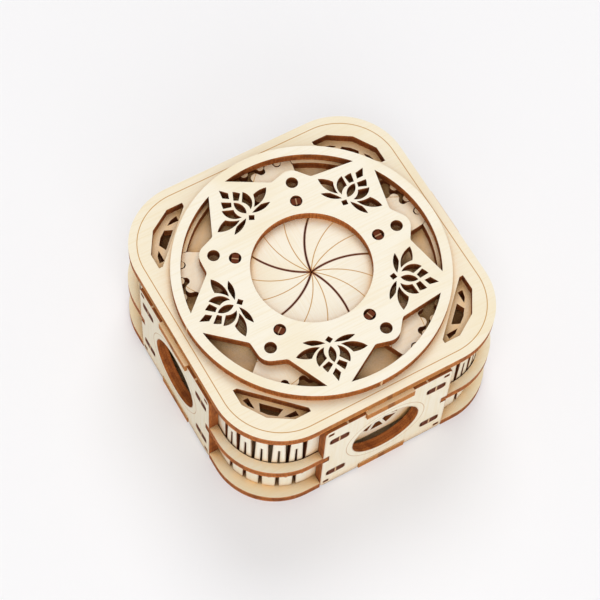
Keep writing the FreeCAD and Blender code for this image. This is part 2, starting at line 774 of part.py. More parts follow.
# ---------------------------------------------------------------- lid
def lid_disc():
    """The star disc inside its ring: one gap, one pair of holes and one flower, each five times."""
    body = new_body("lid_disc")
    lift(body, f"{TOP_HEIGHT} + ply")
    disc = new_sketch(body, "disc")
    circle(disc, LID_RADIUS)
    circle(disc, "iris_window")
    pad(body, disc)
    gap = new_sketch(body, "star_gap")
    start, steps = star_gap()
    outline(gap, start, steps)
    gap_cut = cut_through(body, gap)
    holes = new_sketch(body, "hole_pair")
    circle(holes, "hole_radius", "pivot_circle")
    circle(holes, "hole_radius", HOLE_CIRCLE)
    holes_cut = cut_through(body, holes)
    flower = new_sketch(body, "flower")
    for start, corners in lotus():
        outline(flower, start, bulged(start, corners))
    flower.AttachmentOffset = Placement(Vector(0, 0, 0), Rotation(Vector(0, 0, 1), 180 / BLADES))
    flower_cut = cut_through(body, flower)
    repeat(body, [gap_cut, holes_cut, flower_cut], BLADES)


def star_gap():
    """The opening between the ring and two points of the star, round the lobe of a hole pair."""
    ring = mm(LID_RING_INNER)
    lobe = (mm(HOLE_CIRCLE), 0)
    tip_angle = math.pi / BLADES - math.asin(mm("star_tip_half") / ring)
    root = (mm(f"{HOLE_CIRCLE} + star_root_out"), mm("star_root_half"))
    touch = tangent_point(root, lobe, mm("lobe_radius"), -1)
    corner = polar(ring, tip_angle)
    upper = round_corner(touch, root, corner, mm("star_root_round"))
    lower = [(x, -y) for x, y in upper]
    start = (corner[0], -corner[1])
    crown = (mm(f"{HOLE_CIRCLE} + lobe_radius"), 0)
    steps = [(ring, 0, *corner), upper[2], (*upper[1], *upper[0]), touch,
             (*crown, touch[0], -touch[1]), lower[0], (*lower[1], *lower[2]), start]
    return start, steps


LOTUS_DRAWN = 14.05                  # the length at which the flower below is drawn


def lotus():
    """The cut-outs of one flower that grows outwards along X, each a start and its bulged corners."""
    middle_shapes = [
        ((0, 0), [(1.1, -1.15, 0), (2.25, 0, 0), (1.1, 1.15, 0), (0, 0, 0)]),
        ((3.1, 0), [(8.2, 0, 1.1), (3.1, 0, 1.1)]),
        ((9.9, 0), [(11.5, -1.2, 0), (14.05, 0, 0), (11.5, 1.2, 0), (9.9, 0, 0)]),
    ]
    side_shapes = [
        ((2.1, 1.25), [(2.2, 5.1, 0.1), (0.8, 7.5, 0.1), (2.1, 1.25, 0.85)]),
        ((3.0, 2.95), [(6.0, 5.85, -0.3), (4.9, 10.2, 0.35), (3.0, 2.95, 1.1)]),
        ((3.2, 1.8), [(6.6, 1.72, -0.45), (8.8, 4.35, 0), (3.2, 1.8, 1.5)]),
        ((7.6, 1.45), [(8.7, 0.45, 0), (10.9, 2.4, 0), (8.9, 3.55, 0.1), (7.6, 1.45, 0)]),
    ]
    foot = mm("iris_window + lotus_margin")
    scale = mm("lotus_length") / LOTUS_DRAWN
    for side, shapes in ((1, middle_shapes + side_shapes), (-1, side_shapes)):
        for (x, y), corners in shapes:
            start = (foot + x * scale, side * y * scale)
            yield start, [(foot + cx * scale, side * cy * scale, side * rise * scale)
                          for cx, cy, rise in corners]


def lid_ring(name, radius, height):
    """A ring that turns with the lid, on the same five pegs."""
    body = new_body(name)
    lift(body, height)
    ring = new_sketch(body, name + "_plan")
    circle(ring, radius)
    circle(ring, "iris_window")
    pad(body, ring)
    hole = new_sketch(body, name + "_hole")
    circle(hole, "hole_radius", "pivot_circle")
    hole_cut = cut_through(body, hole)
    repeat(body, [hole_cut], BLADES)


def carrier_ring():
    lid_ring("carrier_ring", CARRIER_RADIUS, LID_FLOOR_HEIGHT)


def retainer_ring():
    lid_ring("retainer_ring", f"{CARRIER_RADIUS} + retainer_lap", RETAINER_HEIGHT)


def pivot_peg(number):
    """A strip of the sheet on which a blade turns, from the retainer ring up into the lid."""
    name = f"pivot_peg_{number + 1}"
    peg = doc.addObject("Part::Box", name)
    peg.Label = name
    peg.setExpression("Length", cell("peg_width"))
    peg.setExpression("Width", cell("peg_depth"))
    peg.setExpression("Height", cell(f"{TOP_HEIGHT} + 2 * ply - peg_recess - ({RETAINER_HEIGHT})"))
    angle = number * 360 / BLADES
    corner = f"vector({cell('pivot_circle - peg_width / 2')}; {cell('-peg_depth / 2')}; "
    corner += f"{cell(RETAINER_HEIGHT)})"
    turn = f"rotation(vector(0; 0; 1); {angle})"
    peg.setExpression("Placement", f"placement(vector(0; 0; 0); {turn}) * placement({corner}; "
                                   "rotation(vector(0; 0; 1); 0))")
    pieces.append(peg)


# ---------------------------------------------------------------- the box
def main():
    bottom_plate()
    inner_floor()
    upper_frame()
    for side in range(4):
        side_panel(side)
        window_grille(side)
        corner_wall(side)
        corner_shelf(side)
    lid_floor_plate()
    gear_ring_plate()
    lid_disc()
    carrier_ring()
    retainer_ring()
    for number in range(BLADES):
        iris_blade(number)
        pivot_peg(number)
    doc.recompute()
    check_and_write()


def check_and_write():
    for item in doc.Objects:
        if "Invalid" in item.State or "Error" in item.State:
            raise ValueError(f"{item.Name} did not build: {item.State}")
    for piece in pieces:
        if piece.Shape.isNull() or not piece.Shape.isValid():
            raise ValueError(f"{piece.Label} has no valid shape")
        if len(piece.Shape.Solids) != 1:
            raise ValueError(f"{piece.Label} has {len(piece.Shape.Solids)} solids")
    os.makedirs("parts", exist_ok=True)
    for piece in pieces:
        piece.Shape.exportStep(f"parts/{piece.Label}.step")
        print(piece.Label, round(piece.Shape.Volume, 1))


main()
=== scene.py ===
# %% [markdown]
# # A laser-cut box with an iris in its lid
# Every piece of this box is cut by a laser from one 3 mm sheet of birch plywood. The cutting leaves
# two surfaces: the pale face of the sheet, and the edge, which the beam burns brown. The solids of
# the pieces are loaded as they are. What this file adds is the wood, the burnt edges, the fine lines
# that a weak beam draws, and the light. We start by loading the pieces and counting them.

# %% Load the pieces
import math

import bmesh
import bpy
from mathutils import Matrix, Vector


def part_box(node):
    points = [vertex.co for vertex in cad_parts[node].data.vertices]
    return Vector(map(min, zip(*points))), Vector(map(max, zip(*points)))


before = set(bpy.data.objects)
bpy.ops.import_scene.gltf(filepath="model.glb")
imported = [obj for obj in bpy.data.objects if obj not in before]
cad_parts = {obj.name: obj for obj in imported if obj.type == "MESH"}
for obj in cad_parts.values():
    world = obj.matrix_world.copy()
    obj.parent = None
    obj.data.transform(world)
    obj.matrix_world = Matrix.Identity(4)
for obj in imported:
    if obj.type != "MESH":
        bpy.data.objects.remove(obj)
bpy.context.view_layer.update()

# %% [markdown]
# ## Sizes
# The patterns below sit on the pieces, so their places come from the pieces' own boxes. A box is a
# pair of corners: the lowest and the highest point of the piece. Blender counts in metres, and a
# pattern on a small box is easier to plan in millimetres, so the sizes are turned into those here.

# %% Read the sizes from the pieces
MM = 0.001
X, Y, Z = range(3)
PLY = 3.0
WALL_BEND = 17.7                     # the outer radius of a bent corner wall
lid_low, lid_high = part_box("lid_disc")
top_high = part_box("gear_ring_plate")[1]
wall_low, wall_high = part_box("corner_wall_back_right")
panel_low, panel_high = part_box("side_panel_back")
LID_RADIUS = lid_high.x / MM
LID_MIDDLE = (lid_low.z + lid_high.z) / 2 / MM
TOP_HALF = top_high.x / MM
WALL_FACE = wall_high.x / MM
WALL_FOOT = wall_low.z / MM
PANEL_FACE = panel_high.y / MM
PANEL_FOOT = panel_low.z / MM
PANEL_TOP = panel_high.z / MM
PANEL_MIDDLE = (PANEL_FOOT + PANEL_TOP) / 2
print(f"in mm: lid radius {LID_RADIUS:.2f}, half of the top plate {TOP_HALF:.2f}")
print(f"in mm: wall face at {WALL_FACE:.2f}, panel face at {PANEL_FACE:.2f}")


# %% [markdown]
# ## Building materials from nodes
# A procedural material is a small machine of nodes. Writing each node out takes many lines, so a few
# helpers do it: add makes a node and joins its inputs, sums and vectors do arithmetic on numbers and
# on vectors, ramp turns a value into a share, and mix blends two colours. An input that is given as
# a socket is linked, and one given as a number is set.

# %% Helpers for nodes
def join(tree, made, inputs):
    for socket, value in inputs.items():
        if isinstance(value, bpy.types.NodeSocket):
            tree.links.new(value, made.inputs[socket])
        else:
            made.inputs[socket].default_value = value


def add(tree, kind, inputs=None, **settings):
    made = tree.nodes.new("ShaderNode" + kind)
    for name, value in settings.items():
        setattr(made, name, value)
    join(tree, made, inputs or {})
    return made


def sums(tree, operation, *values):
    return add(tree, "Math", dict(enumerate(values)), operation=operation).outputs[0]


def vectors(tree, operation, *values):
    """Arithmetic on vectors. It gives a vector, or a number for a length or a dot product."""
    made = add(tree, "VectorMath", dict(enumerate(values)), operation=operation)
    return made.outputs["Value" if operation in ("LENGTH", "DOT_PRODUCT") else "Vector"]


def coordinate(tree, vector, axis):
    return add(tree, "SeparateXYZ", {0: vector}).outputs[axis]


def ramp(tree, value, low, high, peak=1.0):
    """0 where the value is at low, and the peak where it is at high; low may be the larger one."""
    inputs = {"Value": value, "From Min": low, "From Max": high, "To Max": peak}
    return add(tree, "MapRange", inputs, interpolation_type="SMOOTHSTEP").outputs["Result"]


def mix(tree, share, first, second):
    made = add(tree, "Mix", data_type="RGBA", clamp_factor=True)
    join(tree, made, {0: share, 6: first, 7: second})
    return made.outputs[2]


def noise(tree, vector, detail=2.0, roughness=0.5):
    inputs = {"Vector": vector, "Scale": 1.0, "Detail": detail, "Roughness": roughness}
    return add(tree, "TexNoise", inputs).outputs["Fac"]


def stretched(tree, vector, scale, shift=(0, 0, 0)):
    """The vector times a scale along each axis, after a shift that gives each piece its own wood."""
    return vectors(tree, "MULTIPLY", vectors(tree, "ADD", vector, shift), scale)


def colour(red, green, blue):
    """A colour as a painter reads it, from 0 to 255, in the linear values that nodes work with."""
    channels = [value / 255 for value in (red, green, blue)]
    return tuple(v / 12.92 if v <= 0.04045 else ((v + 0.055) / 1.055) ** 2.4 for v in channels) + (1,)


# %% [markdown]
# ## The palette
# Birch is a pale cream wood. Its grain is fine: long faint streaks, and short fine pores. The laser
# burns the edges to a brown that is lighter in the outer plies and dark at the two glue lines. A weak
# pass of the same laser draws golden lines. Deep places get painted shade, from yellow and tan to
# near black, and one dark brown paints both scorch and shade along feet, under vents and between
# blades.

# %% Colours of the wood
CREAM = colour(247, 239, 221)
CREAM_DEEP = colour(240, 225, 192)
PORE = colour(224, 204, 164)
# A tan of painted shade, on inner plates and on the tops of the tongues
SHADE_TAN = colour(232, 194, 138)
STUB = colour(228, 190, 146)
# A yellow of painted shade, for sheltered places
SHADE_YELLOW = colour(244, 186, 102)
# A near black of painted shade, for deep holes
DEEP_SHADE_BROWN = colour(72, 30, 18)
SINGED = colour(170, 112, 60)
ENGRAVED = colour(190, 134, 44)
# A dark brown of scorch, and of painted shade along feet, under vents and between blades
SCORCH_AND_SHADE = colour(122, 46, 14)
EDGE_GOLD = colour(216, 154, 84)
EDGE_LIGHT = colour(206, 128, 64)
EDGE_BROWN = colour(164, 88, 38)
EDGE_DARK = colour(92, 40, 18)


# %% [markdown]
# ## Where is the face and where is the edge?
# A piece's pale faces and burnt edges could have two materials, each on its own faces of the mesh,
# but the meshes are loaded and stay as they are. So one material colours both surfaces, and the
# surface's own direction tells them apart: on a flat plate the face looks up or down, on a panel it
# looks forwards or back, and on a bent corner wall it looks away from the middle of the bend. We
# read the direction in Object coordinates, so it still holds when the lid turns. Both surfaces also
# need the depth in the sheet, which runs from 0 on one side to 1 on the other and picks the ply.

# %% The direction and depth of a surface
FACING = 0.5                         # a flat face looks this much along its axis, or more
FACING_OUT = 0.9                     # and a bent one this much away from the bend


def millimetres(tree):
    """A point's place on the piece in millimetres, and the direction of the surface there."""
    place = add(tree, "TexCoord")
    scaled = add(tree, "VectorMath", {0: place.outputs["Object"], "Scale": 1 / MM}, operation="SCALE")
    return scaled.outputs[0], place.outputs["Normal"]


def depth_from(tree, level, low):
    return sums(tree, "DIVIDE", sums(tree, "SUBTRACT", level, low), PLY)


def past_corner(tree, position, centre):
    """How far a point lies along X and Y past the centre of a bend, the four corners folded into one."""
    past = vectors(tree, "SUBTRACT", vectors(tree, "ABSOLUTE", position), (centre, centre, 0))
    return vectors(tree, "MULTIPLY", vectors(tree, "MAXIMUM", past, (0, 0, 0)), (1, 1, 0))


def flat_piece(tree, position, normal, axis, low):
    """For a flat piece: 1 on its faces and 0 on its edges, and the depth in the sheet."""
    facing = sums(tree, "ABSOLUTE", coordinate(tree, normal, axis))
    depth = depth_from(tree, coordinate(tree, position, axis), low)
    return sums(tree, "GREATER_THAN", facing, FACING), depth


def bent_piece(tree, position, normal):
    """The same two values for a wall that is bent round a corner of the box."""
    outward = past_corner(tree, position, WALL_FACE - WALL_BEND)
    depth = depth_from(tree, vectors(tree, "LENGTH", outward), WALL_BEND - PLY)
    folded = vectors(tree, "ABSOLUTE", normal)
    facing = vectors(tree, "DOT_PRODUCT", vectors(tree, "NORMALIZE", outward), folded)
    return sums(tree, "GREATER_THAN", facing, FACING_OUT), depth


# %% [markdown]
# ## The face and the edge of the sheet
# The face is cream, with streaks of a deeper cream along the grain, fine pores, and slow changes of
# tone. A wood texture would repeat and would need unwrapping, while a noise in space fits every
# piece: stretched along one axis, it makes streaks. The edge runs through three plies: the depth in
# the sheet picks the ply, and a noise that hardly changes along the beam gives the ripples that the
# beam leaves from the top of the cut to its bottom.

# %% The two surfaces of the sheet
STREAKS = (1.6, 0.06)                # steps of the noise in a millimetre, across the grain and along it
PORES = (9.0, 0.9)
CLOUDS = (0.05, 0.05)
RIPPLES = (3.5, 3.5, 0.35)           # and along each axis
PATCHES = (0.35, 0.35, 0.35)
GLUE_DEPTH = 0.17                    # from the middle of the sheet to a glue line
# Where a change of tone begins, where it is full, and how strong it is there
STREAK_TONE = (0.4, 0.75, 0.5)
CLOUD_TONE = (0.45, 0.8, 0.7)
PORE_TONE = (0.62, 0.78, 0.25)
RIPPLE_TONE = (0.3, 0.7)
PATCH_TONE = (0.45, 0.75, 0.45)
MIDDLE_PLY_TONE = (0.19, 0.13, 0.3)
GLUE_TONE = (0.035, 0.01, 0.55)


def grain_scale(scale, grain):
    across, along = scale
    steps = [across, across, across]
    steps[grain] = along
    return steps


def birch_face(tree, position, grain, shift, deeper):
    """The colour of the face, and the streaks in it."""
    streaks = noise(tree, stretched(tree, position, grain_scale(STREAKS, grain), shift), 3.0, 0.6)
    pores = noise(tree, stretched(tree, position, grain_scale(PORES, grain), shift))
    clouds = noise(tree, stretched(tree, position, grain_scale(CLOUDS, grain), shift), 1.0)
    tone = sums(tree, "ADD", ramp(tree, streaks, *STREAK_TONE), deeper)
    wood = mix(tree, tone, CREAM, CREAM_DEEP)
    wood = mix(tree, ramp(tree, clouds, *CLOUD_TONE), wood, CREAM_DEEP)
    return mix(tree, ramp(tree, pores, *PORE_TONE), wood, PORE), streaks


def burnt_edge(tree, position, depth, shift):
    """The colour of the edge, and the ripples in it."""
    ripples = noise(tree, stretched(tree, position, RIPPLES, shift), 2.0, 0.6)
    patches = noise(tree, stretched(tree, position, PATCHES, shift), 1.0)
    from_middle = sums(tree, "ABSOLUTE", sums(tree, "SUBTRACT", depth, 0.5))
    from_glue = sums(tree, "ABSOLUTE", sums(tree, "SUBTRACT", from_middle, GLUE_DEPTH))
    char = mix(tree, ramp(tree, ripples, *RIPPLE_TONE), EDGE_BROWN, EDGE_LIGHT)
    char = mix(tree, ramp(tree, patches, *PATCH_TONE), char, EDGE_DARK)
    char = mix(tree, ramp(tree, from_middle, *MIDDLE_PLY_TONE), char, EDGE_DARK)
    return mix(tree, ramp(tree, from_glue, *GLUE_TONE), char, EDGE_DARK), ripples


# %% [markdown]
# ## Painted shade in deep places, and singed outlines
# Deep places of the box get less light, and here their colour is painted darker too: painted shade.
# Painting it by hand would take a mask for each piece. The Ambient Occlusion node finds those places
# by itself, because it tells how open a place is: from 1 in the open to 0 in a hole. A little
# shelter paints the wood a yellow shade, and deep shelter paints it near black. Looking inwards
# instead, the same node finds the thin rim along the outline of a piece, which the beam singes when
# it leaves the sheet.

# %% Painted shade and singed rim
SHADE_REACH = 7.0                    # mm to which the painted shade feels the walls round it
SINGE_REACH = 0.45                   # mm to which the beam browns the face beside its cut
# How open a place is where the painted shade and the singe begin, and where they are full
YELLOW_SHADE_FULL = 0.35
DEEP_SHADE_RANGE = (0.55, 0.25)
SINGE_RANGE = (0.95, 0.5)
YELLOW_SHADE_STRENGTH = 0.9
DEEP_SHADE_ON_EDGE = 0.8


def paint_shade_in_recesses(tree, wood, char, burn, haze, soot):
    """Face and edge with shade painted in: yellow where a place is sheltered, near black in holes."""
    sky = add(tree, "AmbientOcclusion", {"Distance": SHADE_REACH * MM}, samples=4).outputs["AO"]
    deep = ramp(tree, sky, *DEEP_SHADE_RANGE, soot)
    wood = mix(tree, ramp(tree, sky, haze, YELLOW_SHADE_FULL, YELLOW_SHADE_STRENGTH), wood, SHADE_YELLOW)
    char = mix(tree, burn, char, EDGE_DARK)
    on_edge = sums(tree, "MULTIPLY", deep, DEEP_SHADE_ON_EDGE)
    return mix(tree, deep, wood, DEEP_SHADE_BROWN), mix(tree, on_edge, char, DEEP_SHADE_BROWN)


def singed(tree, wood, strength):
    """The face turns brown along its outline."""
    reach = {"Distance": SINGE_REACH * MM}
    rim = add(tree, "AmbientOcclusion", reach, samples=3, inside=True, only_local=True).outputs["AO"]
    return mix(tree, ramp(tree, rim, *SINGE_RANGE, strength), wood, SINGED)


# %% [markdown]
# ## One recipe for all the pieces
# birch puts the two surfaces together and hands the result to the shader. Marks are the lines and
# spots on a piece's face, each with its own strength and colour: fine burnt lines, and lines and spots
# of painted shade. Stubs are the spots on an edge with another colour, such as the pale ones where a
# small bridge held the piece in its sheet. Bare wood scatters light widely, so the shader stays
# rough, and a weak bump follows the streaks on the face and the ripples on the edge. The wear and
# shade say how much deeper the face's tone is (painted shade on the shelves and the bottom plate),
# how much painted tan shade the face gets, how brown its rim is, how burnt the edge is, how open a
# place may be and still get painted shade, and how dark the painted deep shade gets.

# %% The plywood material
# Defaults of the wear and of the painted shade in deep places
DEFAULT_WEAR_AND_SHADE = {"deeper": 0.0, "tan_shade": 0.0, "rim": 0.0, "burn": 0.0, "haze": 0.9, "soot": 0.9}
BUMP = {"Strength": 0.12, "Distance": 0.05 * MM}
SHEEN = {"Roughness": 0.7, "Specular IOR Level": 0.12}


def birch(name, measure, grain, marks=(), stubs=(), shift=(0, 0, 0), **wear_and_shade):
    """Plywood for a piece: measure tells face from edge, and the grain runs along an axis."""
    wear_and_shade = {**DEFAULT_WEAR_AND_SHADE, **wear_and_shade}
    material = bpy.data.materials.new(name)
    material.use_nodes = True
    tree = material.node_tree
    position, normal = millimetres(tree)
    face, depth = measure(tree, position, normal)
    wood, streaks = birch_face(tree, position, grain, shift, wear_and_shade["deeper"])
    char, ripples = burnt_edge(tree, position, depth, shift)
    # Painted tan shade on the faces of the plates inside the box
    wood = mix(tree, wear_and_shade["tan_shade"], wood, SHADE_TAN)
    for mark, tint in marks:
        wood = mix(tree, mark(tree, position), wood, tint)
    if wear_and_shade["rim"]:
        wood = singed(tree, wood, wear_and_shade["rim"])
    wood, char = paint_shade_in_recesses(tree, wood, char, wear_and_shade["burn"], wear_and_shade["haze"], wear_and_shade["soot"])
    for stub, tint in stubs:
        char = mix(tree, stub(tree, position), char, tint)
    height = add(tree, "Mix", {0: face, 2: ripples, 3: streaks}, data_type="FLOAT").outputs[0]
    bump = add(tree, "Bump", {**BUMP, "Height": height}).outputs[0]
    paint = mix(tree, face, char, wood)
    join(tree, tree.nodes["Principled BSDF"], {"Base Color": paint, "Normal": bump, **SHEEN})
    return material


def dress(node, material):
    """Puts the material into every slot of a loaded piece, without touching its mesh."""
    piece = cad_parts[node]
    if not piece.material_slots:
        raise ValueError(f"{node} has no material slot")
    for slot in piece.material_slots:
        slot.link = "OBJECT"
        slot.material = material


# %% [markdown]
# ## Fine burnt lines and lines of painted shade
# A weak beam only browns the surface, so these lines are colour and not grooves. The top plate has a
# line that runs along its rounded edge, and each panel has a circle round its window. The foot of a
# panel or a wall has a level line of painted shade where it stands on the plate below. A line is the
# set of points at one distance from a shape, so a mark works out that distance and is strong where it
# is near zero.

# %% Marks that follow a shape
SOFTNESS = 0.3                       # how far a line's edges blur, as a share of its half width


def line(tree, distance, half_width, strength):
    """The strength where the distance is near zero, with a soft edge on both sides."""
    off = sums(tree, "ABSOLUTE", distance)
    return ramp(tree, off, half_width * (1 + SOFTNESS), half_width * (1 - SOFTNESS), strength)


def border(inset, bend, half_width, strength):
    """A line along a rounded square, inset from the edge of the top plate."""
    def mark(tree, position):
        outward = past_corner(tree, position, TOP_HALF - inset - bend)
        distance = sums(tree, "SUBTRACT", vectors(tree, "LENGTH", outward), bend)
        return line(tree, distance, half_width, strength)
    return mark


def window_circle(flat_axis, radius, half_width, strength):
    """A circle round a panel's window; the flat axis is the one that the panel faces."""
    def mark(tree, position):
        keep = [1, 1, 1]
        keep[flat_axis] = 0
        from_middle = stretched(tree, position, keep, (0, 0, -PANEL_MIDDLE))
        distance = sums(tree, "SUBTRACT", vectors(tree, "LENGTH", from_middle), radius)
        return line(tree, distance, half_width, strength)
    return mark


def level_line(height, half_width, strength):
    """A level line all round a piece."""
    def mark(tree, position):
        distance = sums(tree, "SUBTRACT", coordinate(tree, position, Z), height)
        return line(tree, distance, half_width, strength)
    return mark


# %% [markdown]
# ## The lines of the iris
# The edges of the blades are arcs that all leave the middle of the lid and curve away, and the golden
# lines between them follow the same arc. Each could be a mark of its own, but turning one arc round
# the middle gives the next line of the fan. So the angle round the middle is folded into one step
# of the fan, and compared with the angle at which an arc crosses that radius.

# %% Marks of the iris
BLADE_EDGE = 25.7                    # the radius of a blade's edge
BLADE_HEADING = math.radians(11)     # the direction in which the first edge leaves the middle
FAN_STEP = math.radians(24)          # from one line to the next: three lines to a blade


def fan(step, half_width, strength):
    """Curved lines from the middle, one for each step of the angle."""
    def mark(tree, position):
        angle = sums(tree, "ARCTAN2", coordinate(tree, position, Y), coordinate(tree, position, X))
        radius = vectors(tree, "LENGTH", vectors(tree, "MULTIPLY", position, (1, 1, 0)))
        bend = sums(tree, "ARCSINE", sums(tree, "DIVIDE", radius, 2 * BLADE_EDGE))
        from_line = sums(tree, "ADD", sums(tree, "SUBTRACT", angle, BLADE_HEADING), bend)
        folded = sums(tree, "WRAP", from_line, step / 2, -step / 2)
        return line(tree, sums(tree, "MULTIPLY", folded, radius), half_width, strength)
    return mark


# %% [markdown]
# ## Spots
# A bridge that held a piece in its sheet leaves a pale stub on the edge, and a place where the beam
# stood still is darker. A spot is a soft ball, stretched along each axis as it is needed. The four
# sides of the box are alike, so folding the position makes one spot appear on all of them at once.

# %% Marks and stubs of single spots
DEEP = 9                             # a reach that takes in the whole thickness of the sheet
CORE = 0.6                           # the share of its reach in which a spot is full


def spot(where, reach, strength):
    """A soft spot at a place, with its own reach along each axis."""
    def mark(tree, position):
        shrink = [1 / value for value in reach]
        moved = stretched(tree, position, shrink, [-value for value in where])
        return ramp(tree, vectors(tree, "LENGTH", moved), 1.0, CORE, strength)
    return mark


def on_each_side(near, far, reach, strength):
    """A spot at (near, far) and at each place that mirrors it, or swaps its two numbers."""
    def mark(tree, position):
        size = vectors(tree, "ABSOLUTE", position)
        sides = (coordinate(tree, size, X), coordinate(tree, size, Y))
        folded = {0: sums(tree, "MINIMUM", *sides), 1: sums(tree, "MAXIMUM", *sides)}
        place = add(tree, "CombineXYZ", folded).outputs[0]
        return spot((near, far, 0), reach, strength)(tree, place)
    return mark


# %% [markdown]
# ## Dressing the flat plates
# Each piece gets its own material, because the depth in the sheet is counted from its own underside,
# and because two pieces cut from different places of a sheet never show the same grain: the shift
# is the place of the sheet that a piece was cut from. The plates inside the box have darker edges,
# and their faces are painted tan as shade. The bottom plate's face has a deeper tone of painted shade.
# The tongues that come out through the panels have tops painted tan as shade, and gold edges with a
# dark spot in their middle. The frame under the lid has a dark spot of painted shade under each vent.

# %% Materials of the plates and rings
def flat_measure(node, axis):
    """How to tell face from edge on a flat piece whose faces look along an axis."""
    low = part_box(node)[0][axis] / MM
    return lambda tree, position, normal: flat_piece(tree, position, normal, axis, low)


TENON_STUBS = [(on_each_side(15.8, PANEL_FACE, (0.3, 0.6, DEEP), 0.85), STUB)]
# The tops of the tongues are painted tan: painted shade
SHADED_TONGUE_TOPS = [(on_each_side(0, PANEL_FACE, (11, 2.2, DEEP), 0.4), SHADE_TAN)]
TONGUE_EDGES = [(on_each_side(0, PANEL_FACE, (14, 3, DEEP), 0.35), EDGE_GOLD),
                (on_each_side(0, PANEL_FACE, (1.3, 3, DEEP), 0.5), EDGE_DARK)]
# A dark spot of painted shade on the frame under each vent
SHADE_UNDER_VENTS = [(on_each_side(29, 29, (11, 11, DEEP), 0.75), SCORCH_AND_SHADE)]
LID_STUB_ANGLES = (math.radians(-91), math.radians(179.4))
LID_STUBS = [(spot((LID_RADIUS * math.cos(angle), LID_RADIUS * math.sin(angle), LID_MIDDLE),
                   (0.45, 0.45, 2), 0.9), STUB) for angle in LID_STUB_ANGLES]
PLATES = (
    # The bottom plate's deeper tone is painted shade
    ("bottom_plate", SHADED_TONGUE_TOPS, TONGUE_EDGES, {"deeper": 0.8, "haze": 0.85}),
    ("inner_floor", (), TENON_STUBS, {"burn": 0.95, "tan_shade": 0.7}),
    ("upper_frame", SHADE_UNDER_VENTS, TENON_STUBS, {"burn": 0.95, "tan_shade": 0.5, "soot": 3.0}),
    ("lid_floor_plate", SHADED_TONGUE_TOPS, TONGUE_EDGES, {"tan_shade": 0.35, "haze": 0.8, "soot": 0.75}),
    ("carrier_ring", (), (), {}),
    ("retainer_ring", (), (), {}),
    ("lid_disc", (), LID_STUBS, {"haze": 0.7}),
)
for number, (node, marks, stubs, wear_and_shade) in enumerate(PLATES):
    shift = (13 * number, 29 * number, 7 * number)
    dress(node, birch("birch_" + node, flat_measure(node, Z), X, marks, stubs, shift, **wear_and_shade))
print("plates and rings dressed:", len(PLATES))

# %% [markdown]
# ## Dressing the top plate
# The top plate is seen best, so it has the most: a golden line along its rounded outline, and an
# edge that is lighter at the middle of each side, with one dark spot where the cut began.

# %% Material of the top plate
top_marks = [(border(inset=2.5, bend=17.7, half_width=0.13, strength=0.9), ENGRAVED)]
top_edges = [(on_each_side(0, TOP_HALF, (26, 3, DEEP), 0.35), EDGE_GOLD),
             (on_each_side(0, TOP_HALF, (1.1, 3, DEEP), 0.5), EDGE_DARK)]
top = birch("birch_top", flat_measure("gear_ring_plate", Z), X, top_marks, top_edges,
            shift=(91, 17, 3), deeper=0.45, haze=0.75)
dress("gear_ring_plate", top)
print("top plate dressed with", len(top.node_tree.nodes), "nodes")

# %% [markdown]
# ## Dressing the corners
# A corner wall is bent after it is cut, so its face looks outwards all round the bend and its grain
# stands upright. The many kerfs have singed their outlines, and a dark line of painted shade runs
# along the wall's foot. The shelf round it lies in the shade of the top plate, and its deeper tone is
# painted shade.

# %% Materials of the corner walls and shelves
CORNERS = ("front_right", "back_right", "back_left", "front_left")
# A dark line of painted shade where the wall stands on the plate below
painted_foot_shade = (level_line(WALL_FOOT, half_width=0.22, strength=0.8), SCORCH_AND_SHADE)
for number, corner in enumerate(CORNERS):
    shelf = "corner_shelf_" + corner
    # The shelf's deeper tone is painted shade
    dress(shelf, birch("birch_" + shelf, flat_measure(shelf, Z), X,
                       shift=(5 * number, 41 * number, 11), deeper=0.6, haze=0.8))
    wall = "corner_wall_" + corner
    dress(wall, birch("birch_" + wall, bent_piece, Z, [painted_foot_shade],
                      shift=(23 * number, 3 * number, 19), burn=0.6, rim=0.5, haze=0.75))
print("corners dressed:", len(CORNERS))

# %% [markdown]
# ## Dressing the sides
# A panel stands upright with its grain upright too. It has a golden circle round its window, a dark
# line of painted shade along its foot, and two stubs on its top edge. The grille behind it gets only a
# little painted deep shade.

# %% Materials of the panels and grilles
SIDES = (("front", (1, 0, 0)), ("right", (0, 1, 0)), ("back", (-1, 0, 0)), ("left", (0, -1, 0)))
CIRCLE_RADIUS = 12.9
PANEL_STUBS = (-13.4, 12.3)          # how far along the panel's top edge
STUB_LENGTH, STUB_HEIGHT = 0.35, 0.7
for number, (side, direction) in enumerate(SIDES):
    axis = Y if number % 2 == 0 else X
    along = Vector(direction)
    middle = along.cross(Vector((0, 0, 1))) * PANEL_FACE + Vector((0, 0, PANEL_TOP))
    reach = [DEEP, DEEP, STUB_HEIGHT]
    reach[1 - axis] = STUB_LENGTH
    stubs = [(spot(middle + along * across, reach, 0.8), STUB) for across in PANEL_STUBS]
    lines = [(window_circle(axis, CIRCLE_RADIUS, half_width=0.1, strength=0.7), ENGRAVED),
             # A dark line of painted shade where the panel stands on the plate below
             (level_line(PANEL_FOOT, half_width=0.25, strength=0.7), SCORCH_AND_SHADE)]
    panel = "side_panel_" + side
    dress(panel, birch("birch_" + panel, flat_measure(panel, axis), Z, lines, stubs,
                       shift=(31 * number, 2, 8), burn=0.3, deeper=0.2, rim=0.6))
    grille = "window_grille_" + side
    dress(grille, birch("birch_" + grille, flat_measure(grille, axis), Z,
                        shift=(17 * number, 5, 60), burn=0.5, soot=0.15))
print("sides dressed:", len(SIDES))


# %% [markdown]
# ## Dressing the iris
# The five blades have two golden lines each, and along each edge a dark line that is partly the burnt
# outline and partly painted shade of the gap between the blades. A peg is a strip that was cut from
# the sheet and stands on end, so its plies run across it and every side of it is burnt. Only its
# middle ply, which the beam scarcely reaches, stays pale.

